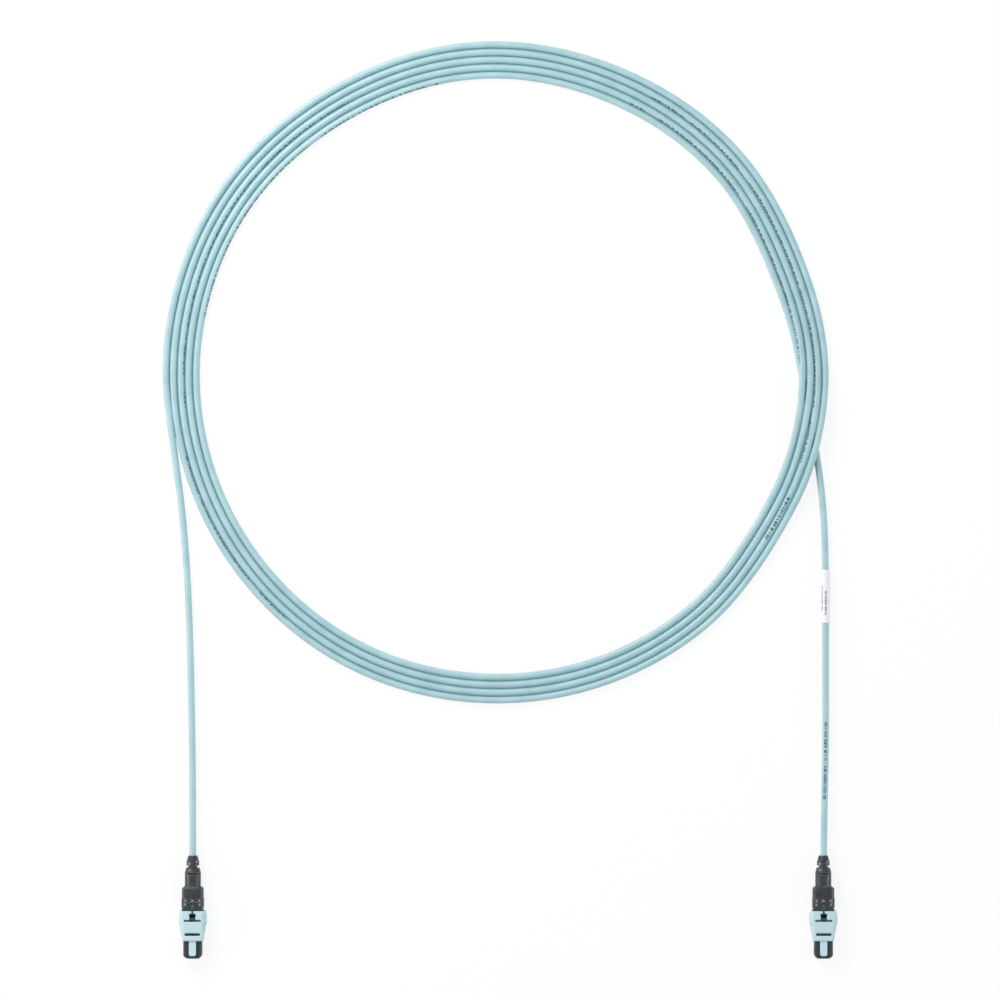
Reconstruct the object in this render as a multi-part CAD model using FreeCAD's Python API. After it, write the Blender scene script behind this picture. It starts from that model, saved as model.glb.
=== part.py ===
import FreeCAD, Part
import math
import os

# A coiled multi-fibre patch cord with a push-pull MPO plug on each end, in millimetres.
#
# World frame: +Z is up and z = 0 is the surface that the cord lies on. +Y points from the plugs
# towards the coil, +X to the right. The origin is under the middle of the two plugs.
# Each plug is first made about its own axis: y = 0 is the end face of its ferrule, and +Y runs
# back to the cord. It is then set down at its place in the world.

V = FreeCAD.Vector

# ---------------------------------------------------------------- driving dimensions
FIT = 0.1                      # play on each side between pieces that slide in one another
TIGHT = 0.05                   # play on each side between pieces that are put together once

# Cord
CORD_D = 3.5
COIL_R = 171.6                 # centre line of the outermost turn
COIL_PITCH = 4.0               # from one turn to the next
COIL_X = -7.3
COIL_Y = 277.0
UPPER_TURNS = 5                # half turns on the side away from the plugs
LEAVE_ANGLE = 13.0             # where the innermost turn leaves the coil, degrees from +X
BAND_CHAMFER = 0.8
CROSSING_Y = (208.0, 232.0, 286.0, 309.0)   # foot, crest, crest and foot of the turns' hump
LABEL_D = 4.5
LABEL_FROM = 147.6
LABEL_LEN = 27.5

# Plugs
PLUG_SPACING = 327.6           # from one plug's axis to the other's

# Ferrule and the pieces behind it
FERRULE_W = 6.4
FERRULE_H = 2.5
FERRULE_LEN = 8.0
FERRULE_PROUD = 0.4            # how far it stands out of the nose
FERRULE_FLANGE_W = 7.0
FERRULE_FLANGE_H = 3.0
FERRULE_FLANGE_LEN = 2.0
FERRULE_FRONT_WALL = 2.5
FERRULE_FLOAT = 0.6
GUIDE_HOLE_D = 0.7
GUIDE_HOLE_PITCH = 4.6
GLUE_WINDOW_W = 2.9
GLUE_WINDOW_LEN = 1.9
RIBBON_W = 3.1
RIBBON_T = 0.3
FERRULE_BOOT_W = 3.4
FERRULE_BOOT_H = 1.0
FERRULE_BOOT_LEN = 4.8
FERRULE_BOOT_IN = 2.2          # how deep it sits in the ferrule
KEEPER_W = 6.9
KEEPER_H = 3.4
KEEPER_LEN = 2.8
KEEPER_SEAT_W = 7.2
KEEPER_SEAT_H = 4.3
KEEPER_SEAT_LEN = 1.2

# Main spring
SPRING_W = 7.0
SPRING_H = 4.3
SPRING_WIRE = 0.5
SPRING_LEN = 7.8
SPRING_TURNS = 6

# Front housing
NOSE_W = 9.75
NOSE_H = 6.3
NOSE_LEN = 9.4                 # from the ferrule's end face to the front of the sleeve
NOSE_TAPER_LEN = 2.7
NOSE_TAPER_IN = 1.9
NOSE_EDGE = 0.5
CAVITY_W = 7.5
CAVITY_H = 4.6
BLOCK_EDGE = 0.6
LATCH_RECESS_DEPTH = 0.8
LATCH_RECESS_H = 3.2
LATCH_RECESS_FROM = 3.2
LATCH_RECESS_LEN = 2.4
RIB_W = 0.6
RIB_RISE = 0.5

# Polarity keys
KEY_W = 3.7
KEY_FRONT = 1.5                # from the ferrule's end face
KEY_UNDER = 2.4                # how much of it the sleeve covers
KEY_CORNER = 1.2
KEY_TONGUE_TOP = 1.2
KEY_TONGUE_FOOT = 1.8
KEY_TONGUE_DEPTH = 0.4

# Outer sleeve
SLEEVE_LEN = 15.5
SLEEVE_H = 9.8
SLEEVE_FRONT_W = 10.9
SLEEVE_BACK_W = 12.8           # of the shell between the grips, at the rear
SLEEVE_EDGE = 1.5
SLEEVE_WIDE = 14.6
SLEEVE_REAR_W = 13.2
SLEEVE_WIDE_FROM = 2.4         # the widest stretch, from the rear edge
SLEEVE_WIDE_TO = 5.8
GRIP_H = 7.6
GRIP_EDGE = 1.6
SLEEVE_TOP_WALL = 0.6
SLEEVE_LIP = 1.0
SLEEVE_INNER_EDGE = 0.6
SLEEVE_TRAVEL = 1.8
SLEEVE_POCKET_SPARE = 0.5      # depth of the rear pocket beyond the travel
BAR_SLOT_W = 7.9
BAR_SLOT_LEN = 1.3
BAR_SLOT_FROM = 2.7            # from the front edge
TEE_NECK_W = 0.95
TEE_NECK_LEN = 1.3
TEE_STEM_W = 3.2
TEE_STEM_LEN = 3.3
TEE_BAR_W = 8.8
TEE_BAR_LEN = 0.9
TEE_FLARE = 0.35

# Sleeve springs
SIDE_SPRING_D = 1.7
SIDE_SPRING_WIRE = 0.25
SIDE_SPRING_LEN = 5.6
SIDE_SPRING_TURNS = 7
SIDE_SPRING_SINK = 0.575       # how deep it sits in the housing's side
SIDE_LUG_LEN = 1.2

# Spring push
PUSH_BORE_W = 4.0
PUSH_BORE_H = 1.6
PUSH_FLANGE_W = 8.5
PUSH_FLANGE_H = 5.6
PUSH_FLANGE_LEN = 1.2
HOOK_W = 2.8
HOOK_LEN = 1.6
HOOK_RISE = 1.3
HOOK_FROM_END = 1.8            # from the hook's back to the rear of the front housing
POST_D = 5.0
POST_LEN = 5.9
POST_BORE_D = 3.4
POST_GROOVES = 3
POST_GROOVE = 0.35

# Crimp ring
CRIMP_D = 6.1
CRIMP_WALL = 0.4
CRIMP_BARREL_LEN = 5.2
CRIMP_CONE_LEN = 0.8
CRIMP_NECK_WALL = 0.65
CRIMP_NECK_LEN = 3.5
CRIMP_SETBACK = 0.9            # from the spring push's flange

# Rear housing
REAR_LEN = 12.5
REAR_FRONT_W = 11.1
REAR_FRONT_EDGE = 1.2
REAR_GRIP_W = 11.6
REAR_GRIP_LEN = 4.7
REAR_COLLAR_W = 11.2
REAR_H = 9.0
REAR_EDGE = 2.4
REAR_SHOULDER = 0.9
PAD_W = 0.9
PAD_LEN = 1.2
PAD_RISE = 0.4
PAD_COLUMN = 3.7
PAD_ROW = 1.95
DIMPLE_W = 1.3
DIMPLE_DEPTH = 0.6

# Boot
BOOT_D = 8.4
BOOT_BARREL_LEN = 6.3
BOOT_PLUG_D = 7.4
BOOT_PLUG_LEN = 5.8
BOOT_RING_D = 7.9
BOOT_RING_LEN = 0.8
BOOT_SLOT_LEN = 1.0
BOOT_SLOT_W = 5.2
BOOT_CONE_LEN = 2.6
BOOT_CONE_D = 7.0
BOOT_NOTCH_LEN = 1.1
BOOT_WEB = 4.6
BOOT_TIP_D = 6.7
BOOT_TIP_LEN = 5.1
BOOT_TIP_STEP = 2.4
BOOT_END_D = 4.9
BOOT_BORE_WALL = 0.7           # left round the bore under the slots
BOOT_WINDOW_W = 0.9
BOOT_WINDOW_LEN = 0.9
BOOT_WINDOWS = ((1, 3.2), (-1, 4.3), (-1, 7.5))   # side of the cord, and middle from the tip

# ---------------------------------------------------------------- places that follow
SLEEVE_FRONT = NOSE_LEN
SLEEVE_REAR = SLEEVE_FRONT + SLEEVE_LEN
BLOCK_FRONT = SLEEVE_FRONT + SLEEVE_LIP + SLEEVE_TRAVEL + FIT
REAR_FRONT = SLEEVE_REAR
REAR_END = REAR_FRONT + REAR_LEN
BOOT_TIP_END = (
    REAR_END + BOOT_BARREL_LEN + BOOT_SLOT_LEN + BOOT_CONE_LEN + BOOT_NOTCH_LEN + BOOT_TIP_LEN
)
AXIS_Z = SLEEVE_H / 2
PLUG_Y = -BOOT_TIP_END / 2

CHANNEL_HALF_H = SLEEVE_H / 2 - SLEEVE_TOP_WALL
BLOCK_H = 2 * (CHANNEL_HALF_H - FIT)
KEY_H = (BLOCK_H - NOSE_H) / 2
KEY_LEN = SLEEVE_FRONT + KEY_UNDER - KEY_FRONT
KEY_SLIDE = SLEEVE_FRONT - KEY_FRONT + FIT
KEY_CHANNEL_END = KEY_FRONT + KEY_LEN + KEY_SLIDE + 2 * FIT
CHANNEL_HALF_W = NOSE_W / 2 + FIT

FLANGE_FRONT = FERRULE_LEN - FERRULE_FLANGE_LEN
KEEPER_END = FERRULE_LEN + KEEPER_LEN
PUSH_FRONT = KEEPER_END + SPRING_LEN
PUSH_BODY_H = CAVITY_H - 2 * TIGHT
POST_FRONT = REAR_FRONT + PUSH_FLANGE_LEN
POST_END = POST_FRONT + POST_LEN
CRIMP_FRONT = POST_FRONT + CRIMP_SETBACK
CRIMP_CONE = CRIMP_FRONT + CRIMP_BARREL_LEN
CRIMP_NECK = CRIMP_CONE + CRIMP_CONE_LEN
CRIMP_END = CRIMP_NECK + CRIMP_NECK_LEN
CORD_START = CRIMP_NECK + FIT
CORD_BORE_D = CORD_D + 2 * FIT

SIDE_SPRING_X = NOSE_W / 2 - SIDE_SPRING_SINK + SIDE_SPRING_D / 2
POCKET_FRONT = SLEEVE_REAR - SLEEVE_TRAVEL - SLEEVE_POCKET_SPARE
SIDE_LUG_FRONT = POCKET_FRONT - SIDE_LUG_LEN
SIDE_SPRING_FRONT = SIDE_LUG_FRONT - SIDE_SPRING_LEN

# The cord's route beyond each boot, after its straight start inside it
LEFT_ROUTE = [
    (-163.8, 46.0, 4.9),
    (-164.3, 88.0, 2.25),
    (-165.3, 134.0, 1.75),
    (-167.2, 176.0, 1.75),
    (-170.2, 211.0, 1.75),
    (-174.7, 238.0, 1.75),
    (-178.9, 262.0, 1.75),
    (-178.9, 277.0, 1.75),
]
RIGHT_ROUTE = [
    (163.8, 46.0, 4.9),
    (165.1, 88.0, 2.5),
    (165.0, 132.0, 2.25),
    (165.1, 172.0, 2.4),
    (163.9, 206.0, 1.75),
    (160.4, 236.0, 1.75),
    (152.6, 272.0, 1.75),
]


# ---------------------------------------------------------------- shapes
def section(width, height, corner, y):
    """A rectangle with round corners, as a closed wire across the plug's axis."""
    across, up = width / 2 - corner, height / 2 - corner
    centres = [(across, up), (-across, up), (-across, -up), (across, -up)]
    edges = []
    for i, (x, z) in enumerate(centres):
        turn = [math.radians(90 * i + a) for a in (0, 45, 90)]
        arc = [V(x + corner * math.cos(t), y, z + corner * math.sin(t)) for t in turn]
        edges.append(Part.Arc(*arc).toShape())
        next_x, next_z = centres[(i + 1) % 4]
        start = V(next_x + corner * math.cos(turn[2]), y, next_z + corner * math.sin(turn[2]))
        edges.append(Part.LineSegment(arc[2], start).toShape())
    return Part.Wire(edges)


def round_bar(width, height, corner, y0, y1):
    """A bar along the axis from y0 to y1, with its four long edges rounded."""
    return Part.Face(section(width, height, corner, y0)).extrude(V(0, y1 - y0, 0))


def bar(width, height, y0, y1, z=0.0, x=0.0):
    """A square-edged bar along the axis from y0 to y1, centred on (x, z)."""
    return Part.makeBox(width, y1 - y0, height, V(x - width / 2, y0, z - height / 2))


def rod(diameter, y0, y1, x=0.0, z=0.0):
    """A round bar along the axis from y0 to y1."""
    return Part.makeCylinder(diameter / 2, y1 - y0, V(x, y0, z), V(0, 1, 0))


def turned(profile):
    """A solid of revolution about the axis. The profile is a closed list of (radius, y)."""
    outline = [V(r, y, 0) for r, y in profile]
    face = Part.Face(Part.makePolygon(outline + outline[:1]))
    return face.revolve(V(0, 0, 0), V(0, 1, 0), 360)


def plan_solid(points, z0, z1):
    """The closed outline of (x, y) points, extruded from z0 to z1."""
    outline = [V(x, y, z0) for x, y in points]
    return Part.Face(Part.makePolygon(outline + outline[:1])).extrude(V(0, 0, z1 - z0))


def mirrored_z(shape):
    return shape.mirror(V(0, 0, 0), V(0, 0, 1))


def mirrored_x(shape):
    return shape.mirror(V(0, 0, 0), V(1, 0, 0))


def coil_spring(across, up, wire, y0, y1, turns, steps, sides, x=0.0):
    """A helical spring from y0 to y1, of outer size across by up, with a closed turn at each end.

    The wire follows (a cos t, y(t), b sin t) in straight steps. y climbs by a little over one
    wire for each end turn, and evenly over the working turns between them.
    """
    a, b = (across - wire) / 2, (up - wire) / 2
    end_rise = 1.12 * wire
    rise = y1 - y0 - wire - 2 * end_rise
    path = []
    for i in range(turns * steps + 1):
        turn = i / steps
        worked = min(max(turn - 1, 0), turns - 2) / (turns - 2)
        y = y0 + wire / 2 + end_rise * (min(turn, 1) + max(turn - turns + 1, 0)) + rise * worked
        angle = 2 * math.pi * turn
        path.append(V(x + a * math.cos(angle), y, b * math.sin(angle)))
    spine = Part.makePolygon(path)
    ahead = path[1] - path[0]
    outline = Part.Wire(Part.makePolygon([
        V(wire / 2 * math.cos(2 * math.pi * i / sides), wire / 2 * math.sin(2 * math.pi * i / sides), 0)
        for i in list(range(sides)) + [0]
    ]))
    outline.Placement = FreeCAD.Placement(path[0], FreeCAD.Rotation(V(0, 0, 1), ahead))
    return spine.makePipeShell([outline], True, False, 1)


# ---------------------------------------------------------------- plug pieces
def ferrule():
    """The rectangular ferrule: a flanged block with two guide holes and a glue window on top."""
    body = bar(FERRULE_W, FERRULE_H, 0, FERRULE_LEN)
    flange = bar(FERRULE_FLANGE_W, FERRULE_FLANGE_H, FLANGE_FRONT, FERRULE_LEN)
    shape = body.fuse(flange).removeSplitter()
    for side in (-1, 1):
        shape = shape.cut(rod(GUIDE_HOLE_D, 0, FERRULE_LEN, side * GUIDE_HOLE_PITCH / 2))
    throat = bar(RIBBON_W + 2 * FIT, RIBBON_T + 2 * FIT, FERRULE_FRONT_WALL, FERRULE_LEN)
    socket = bar(
        FERRULE_BOOT_W, FERRULE_BOOT_H, FERRULE_LEN - FERRULE_BOOT_IN, FERRULE_LEN
    )
    window = bar(
        GLUE_WINDOW_W, FERRULE_H, FERRULE_FRONT_WALL + FIT,
        FERRULE_FRONT_WALL + FIT + GLUE_WINDOW_LEN, FERRULE_H / 2,
    )
    return shape.cut(throat).cut(socket).cut(window)


def ferrule_boot():
    """The soft boot that leads the ribbon into the back of the ferrule."""
    start = FERRULE_LEN - FERRULE_BOOT_IN
    body = bar(FERRULE_BOOT_W, FERRULE_BOOT_H, start, start + FERRULE_BOOT_LEN)
    slot = bar(RIBBON_W, RIBBON_T, start, start + FERRULE_BOOT_LEN)
    return body.cut(slot)


def fibre_ribbon():
    """The fibres, laid flat as a ribbon, from the ferrule's front wall back into the post."""
    return bar(RIBBON_W, RIBBON_T, FERRULE_FRONT_WALL + FIT, CORD_START - FERRULE_FLOAT - FIT)


def pin_keeper():
    """The spacer behind the ferrule, open in the middle for the ribbon, with the spring's seat."""
    body = bar(KEEPER_W, KEEPER_H, FERRULE_LEN, KEEPER_END)
    seat = bar(KEEPER_SEAT_W, KEEPER_SEAT_H, KEEPER_END - KEEPER_SEAT_LEN, KEEPER_END)
    throat = bar(
        FERRULE_BOOT_W + 2 * FIT, FERRULE_BOOT_H + 2 * FIT, FERRULE_LEN, KEEPER_END
    )
    return body.fuse(seat).removeSplitter().cut(throat)


def main_spring():
    """The oval spring that pushes the ferrule forward."""
    return coil_spring(SPRING_W, SPRING_H, SPRING_WIRE, KEEPER_END, PUSH_FRONT, SPRING_TURNS, 12, 6)


def spring_push():
    """The back post: it backs the spring, hooks into the housing and carries the crimp."""
    body = bar(CAVITY_W - 2 * TIGHT, PUSH_BODY_H, PUSH_FRONT, REAR_FRONT)
    flange = bar(PUSH_FLANGE_W, PUSH_FLANGE_H, REAR_FRONT, POST_FRONT)
    shape = body.fuse([flange, post(), hook(), mirrored_z(hook())]).removeSplitter()
    shape = shape.cut(bar(PUSH_BORE_W, PUSH_BORE_H, PUSH_FRONT, POST_FRONT - PUSH_FLANGE_LEN / 2))
    return shape.cut(rod(POST_BORE_D, POST_FRONT - PUSH_FLANGE_LEN / 2, POST_END))


def post():
    """The round post, with rings cut in it to hold the yarn under the crimp."""
    radius = POST_D / 2
    step = POST_LEN / (POST_GROOVES + 1)
    outline = [(0, POST_FRONT), (radius, POST_FRONT)]
    for i in range(1, POST_GROOVES + 1):
        y = POST_FRONT + i * step
        outline += [
            (radius, y - POST_GROOVE),
            (radius - POST_GROOVE, y),
            (radius, y + POST_GROOVE),
        ]
    outline += [(radius, POST_END), (0, POST_END)]
    return turned(outline)


def hook():
    """The upper latch: a ramp that rises to the back, where it ends square."""
    back = REAR_FRONT - HOOK_FROM_END
    front = back - HOOK_LEN
    foot = PUSH_BODY_H / 2
    outline = [
        V(-HOOK_W / 2, front, foot),
        V(-HOOK_W / 2, back, foot + HOOK_RISE),
        V(-HOOK_W / 2, back, foot),
    ]
    return Part.Face(Part.makePolygon(outline + outline[:1])).extrude(V(HOOK_W, 0, 0))


def key_tongue(top, foot, depth, y0, y1):
    """A dovetail under the upper key, or the groove for one, from the nose's top face down."""
    z = NOSE_H / 2
    outline = [V(-top / 2, y0, z), V(top / 2, y0, z), V(foot / 2, y0, z - depth), V(-foot / 2, y0, z - depth)]
    return Part.Face(Part.makePolygon(outline + outline[:1])).extrude(V(0, y1 - y0, 0))


def polarity_key():
    """The upper key in its forward place: a flat bar with round front corners and a dovetail."""
    half, back = KEY_W / 2, KEY_FRONT + KEY_LEN
    z0 = NOSE_H / 2
    block = Part.makeBox(KEY_W, KEY_LEN, KEY_H, V(-half, KEY_FRONT, z0))
    corners = [
        e for e in block.Edges
        if abs(e.BoundBox.YMax - KEY_FRONT) < 1e-6 and e.BoundBox.ZLength > KEY_H / 2
    ]
    block = block.makeFillet(KEY_CORNER, corners)
    tongue = key_tongue(
        KEY_TONGUE_TOP, KEY_TONGUE_FOOT, KEY_TONGUE_DEPTH, KEY_FRONT + KEY_CORNER, back
    )
    return block.fuse(tongue).removeSplitter()


def nose():
    """The front of the housing, with its sides drawn in round the ferrule."""
    half, front, shoulder = NOSE_W / 2, FERRULE_PROUD, FERRULE_PROUD + NOSE_TAPER_LEN
    tip = half - NOSE_TAPER_IN
    bulge = (half - NOSE_TAPER_IN * 0.27, front + NOSE_TAPER_LEN * 0.27)
    right = Part.Arc(V(half, shoulder, 0), V(bulge[0], bulge[1], 0), V(tip, front, 0))
    left = Part.Arc(V(-tip, front, 0), V(-bulge[0], bulge[1], 0), V(-half, shoulder, 0))
    plan = Part.Wire([
        right.toShape(),
        Part.LineSegment(V(tip, front, 0), V(-tip, front, 0)).toShape(),
        left.toShape(),
        Part.LineSegment(V(-half, shoulder, 0), V(-half, BLOCK_FRONT, 0)).toShape(),
        Part.LineSegment(V(-half, BLOCK_FRONT, 0), V(half, BLOCK_FRONT, 0)).toShape(),
        Part.LineSegment(V(half, BLOCK_FRONT, 0), V(half, shoulder, 0)).toShape(),
    ])
    plan.translate(V(0, 0, -NOSE_H / 2))
    slab = Part.Face(plan).extrude(V(0, 0, NOSE_H))
    return slab.common(round_bar(NOSE_W, NOSE_H, NOSE_EDGE, front, BLOCK_FRONT))


def key_channel():
    """What the upper key needs: its channel through the block and its dovetail groove."""
    channel = Part.makeBox(
        KEY_W + 2 * FIT, KEY_CHANNEL_END - BLOCK_FRONT, SLEEVE_H,
        V(-KEY_W / 2 - FIT, BLOCK_FRONT, NOSE_H / 2),
    )
    groove = key_tongue(
        KEY_TONGUE_TOP + 2 * FIT, KEY_TONGUE_FOOT + 2 * FIT, KEY_TONGUE_DEPTH + TIGHT,
        KEY_FRONT + KEY_CORNER - FIT, KEY_CHANNEL_END,
    )
    return channel.fuse(groove)


def hook_window():
    """The window over the upper hook."""
    back = REAR_FRONT - HOOK_FROM_END + FIT
    return Part.makeBox(
        HOOK_W + 2 * FIT, HOOK_LEN + 2 * FIT, SLEEVE_H,
        V(-HOOK_W / 2 - FIT, back - HOOK_LEN - 2 * FIT, 0),
    )


def side_lug():
    """The round lug on the right side of the housing. It backs the sleeve's spring, and the end of
    the sleeve's groove comes to rest behind it, so that the sleeve can't slip off the front."""
    return rod(SIDE_SPRING_D, SIDE_LUG_FRONT, POCKET_FRONT, SIDE_SPRING_X)


def top_rib(y0, y1, foot):
    """The fine rib along the middle of the top, from the height foot up."""
    return Part.makeBox(
        RIB_W, y1 - y0, BLOCK_H / 2 + RIB_RISE - foot, V(-RIB_W / 2, y0, foot)
    )


def front_housing():
    """The inner housing: the nose that enters the adapter, and the block that the sleeve rides."""
    block = round_bar(NOSE_W, BLOCK_H, BLOCK_EDGE, BLOCK_FRONT, REAR_FRONT)
    shape = nose().fuse(block)
    window = bar(FERRULE_W + 2 * FIT, FERRULE_H + 2 * FIT, 0, REAR_FRONT)
    cavity = bar(CAVITY_W, CAVITY_H, FLANGE_FRONT, REAR_FRONT)
    groove = rod(SIDE_SPRING_D + FIT, SIDE_SPRING_FRONT, SIDE_LUG_FRONT, SIDE_SPRING_X)
    recess = bar(
        2 * LATCH_RECESS_DEPTH, LATCH_RECESS_H,
        LATCH_RECESS_FROM, LATCH_RECESS_FROM + LATCH_RECESS_LEN, 0, NOSE_W / 2,
    )
    rib = top_rib(REAR_FRONT - HOOK_FROM_END + 2 * FIT, REAR_FRONT, BLOCK_H / 2 - RIB_RISE)
    shape = shape.fuse([side_lug(), mirrored_x(side_lug()), rib, mirrored_z(rib)]).removeSplitter()
    cuts = [window, cavity]
    for cut in (groove, recess):
        cuts += [cut, mirrored_x(cut)]
    for cut in (key_channel(), hook_window()):
        cuts += [cut, mirrored_z(cut)]
    return shape.cut(cuts)


def grip_outline():
    """The sleeve's plan: widest near the back, drawn in to the front edge."""
    half = [
        (SLEEVE_FRONT_W / 2, SLEEVE_FRONT),
        (SLEEVE_WIDE / 2, SLEEVE_REAR - SLEEVE_WIDE_TO),
        (SLEEVE_WIDE / 2, SLEEVE_REAR - SLEEVE_WIDE_FROM),
        (SLEEVE_REAR_W / 2, SLEEVE_REAR),
    ]
    return half + [(-x, y) for x, y in reversed(half)]


def sleeve_shell():
    """The sleeve between its grips: a flat box that widens to the rear, its long edges rounded."""
    front, back = SLEEVE_FRONT_W / 2, SLEEVE_BACK_W / 2
    outline = [(-front, SLEEVE_FRONT), (front, SLEEVE_FRONT), (back, SLEEVE_REAR), (-back, SLEEVE_REAR)]
    slab = plan_solid(outline, -SLEEVE_H / 2, SLEEVE_H / 2)
    long_edges = [e for e in slab.Edges if e.BoundBox.YLength > SLEEVE_LEN / 2]
    return slab.makeFillet(SLEEVE_EDGE, long_edges)


def sleeve_grips():
    """The two side grips as one slab, rounded at its corners and along its top and bottom."""
    slab = plan_solid(grip_outline(), -GRIP_H / 2, GRIP_H / 2)
    upright = [
        e for e in slab.Edges
        if e.BoundBox.ZLength > GRIP_H / 2
        and abs(abs(e.BoundBox.XMax) - SLEEVE_WIDE / 2) < 1e-6
    ]
    slab = slab.makeFillet(2 * GRIP_EDGE, upright)
    rims = [
        e for e in slab.Edges
        if e.BoundBox.ZLength < 1e-6 and e.BoundBox.XLength < SLEEVE_REAR_W - 1
    ]
    return slab.makeFillet(GRIP_EDGE, rims)


def tee_opening():
    """The opening at the rear of the sleeve's top: a neck, a stem flared at its back and a bar."""
    stem_end = SLEEVE_REAR - TEE_NECK_LEN - TEE_STEM_LEN
    neck, stem, flare = TEE_NECK_W / 2, TEE_STEM_W / 2, TEE_STEM_W / 2 + TEE_FLARE
    half = [
        (neck, SLEEVE_REAR + FIT),
        (neck, SLEEVE_REAR - TEE_NECK_LEN),
        (stem - TEE_FLARE, SLEEVE_REAR - TEE_NECK_LEN),
        (flare, SLEEVE_REAR - TEE_NECK_LEN - TEE_FLARE * 2),
        (stem, SLEEVE_REAR - TEE_NECK_LEN - TEE_FLARE * 3),
        (stem, stem_end),
        (TEE_BAR_W / 2, stem_end),
        (TEE_BAR_W / 2, stem_end - TEE_BAR_LEN),
    ]
    return plan_solid(half + [(-x, y) for x, y in reversed(half)], NOSE_H / 2, SLEEVE_H)


def bar_slot():
    """The slot across the front of the sleeve's top, through which a key can be shifted."""
    y0 = SLEEVE_FRONT + BAR_SLOT_FROM
    return bar(BAR_SLOT_W, SLEEVE_H, y0, y0 + BAR_SLOT_LEN, NOSE_H / 2 + SLEEVE_H / 2)


def outer_sleeve():
    """The coloured sleeve that is pulled back to free the plug from its adapter."""
    shape = sleeve_shell().fuse(sleeve_grips()).removeSplitter()
    lip_hole = bar(2 * CHANNEL_HALF_W, NOSE_H + 2 * FIT, SLEEVE_FRONT, SLEEVE_REAR)
    key_notch = bar(KEY_W + 2 * FIT, 2 * CHANNEL_HALF_H, SLEEVE_FRONT, SLEEVE_REAR)
    channel = round_bar(
        2 * CHANNEL_HALF_W, 2 * CHANNEL_HALF_H, SLEEVE_INNER_EDGE,
        SLEEVE_FRONT + SLEEVE_LIP, SLEEVE_REAR,
    )
    pocket = round_bar(
        REAR_FRONT_W + 2 * FIT, 2 * CHANNEL_HALF_H, SLEEVE_INNER_EDGE, POCKET_FRONT, SLEEVE_REAR
    )
    groove = rod(SIDE_SPRING_D + 2 * FIT, SIDE_SPRING_FRONT, POCKET_FRONT, SIDE_SPRING_X)
    cuts = [lip_hole, key_notch, channel, pocket, groove, mirrored_x(groove)]
    for opening in (tee_opening(), bar_slot()):
        cuts += [opening, mirrored_z(opening)]
    return shape.cut(cuts)


def sleeve_spring(side):
    """One of the two small springs that push the sleeve forward."""
    return coil_spring(
        SIDE_SPRING_D, SIDE_SPRING_D, SIDE_SPRING_WIRE, SIDE_SPRING_FRONT, SIDE_LUG_FRONT,
        SIDE_SPRING_TURNS, 8, 4, side * SIDE_SPRING_X,
    )


def crimp_ring():
    """The metal ring: a barrel over the post, a cone and a neck round the cord's jacket."""
    out, neck = CRIMP_D / 2, CORD_D / 2 + TIGHT + CRIMP_NECK_WALL
    return turned([
        (out - CRIMP_WALL, CRIMP_FRONT),
        (out, CRIMP_FRONT),
        (out, CRIMP_CONE),
        (neck, CRIMP_NECK),
        (neck, CRIMP_END),
        (CORD_D / 2 + TIGHT, CRIMP_END),
        (CORD_D / 2 + TIGHT, CRIMP_NECK),
        (out - CRIMP_WALL, CRIMP_CONE),
    ])


def grip_pads():
    """The raised pads on the rear housing's top: a column each side and one in the middle."""
    back_row = REAR_FRONT + SLEEVE_TRAVEL + REAR_GRIP_LEN - PAD_LEN
    places = [(0, 0), (-PAD_COLUMN, 0), (PAD_COLUMN, 0), (-PAD_COLUMN, 1), (PAD_COLUMN, 1)]
    pads = []
    for x, row in places:
        y = back_row - row * PAD_ROW
        z = REAR_H / 2 + PAD_RISE - PAD_W / 2
        pads.append(rod(PAD_W, y - PAD_LEN / 2, y + PAD_LEN / 2, x, z))
    return pads


def grip_dimples():
    """The shallow pockets between the pads."""
    y = REAR_FRONT + SLEEVE_TRAVEL + REAR_GRIP_LEN - PAD_LEN
    return [
        bar(DIMPLE_W, 2 * DIMPLE_DEPTH, y - PAD_LEN / 2, y + PAD_LEN / 2, REAR_H / 2, side * PAD_COLUMN / 2)
        for side in (-1, 1)
    ]


def rear_housing():
    """The back shell: a front that the sleeve slides over, a grip, and a smooth collar."""
    grip_front = REAR_FRONT + SLEEVE_TRAVEL + FIT
    grip_end = grip_front + REAR_GRIP_LEN
    front = round_bar(REAR_FRONT_W, BLOCK_H, REAR_FRONT_EDGE, REAR_FRONT, grip_front)
    grip = round_bar(REAR_GRIP_W, REAR_H, REAR_EDGE, grip_front, grip_end)
    collar = round_bar(REAR_COLLAR_W, REAR_H, REAR_EDGE, grip_end, REAR_END - REAR_SHOULDER)
    shoulder = Part.makeLoft([
        section(REAR_COLLAR_W, REAR_H, REAR_EDGE, REAR_END - REAR_SHOULDER),
        section(
            REAR_COLLAR_W - 2 * REAR_SHOULDER, REAR_H - REAR_SHOULDER,
            REAR_EDGE - REAR_SHOULDER / 2, REAR_END,
        ),
    ], True, True)
    rib = top_rib(REAR_FRONT, grip_front + PAD_LEN, BLOCK_H / 2 - RIB_RISE)
    pads = grip_pads()
    extras = pads + [mirrored_z(p) for p in pads] + [rib, mirrored_z(rib)]
    shape = front.fuse([grip, collar, shoulder] + extras).removeSplitter()
    for dimple in grip_dimples():
        shape = shape.cut([dimple, mirrored_z(dimple)])
    return shape.cut(rear_bore())


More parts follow.
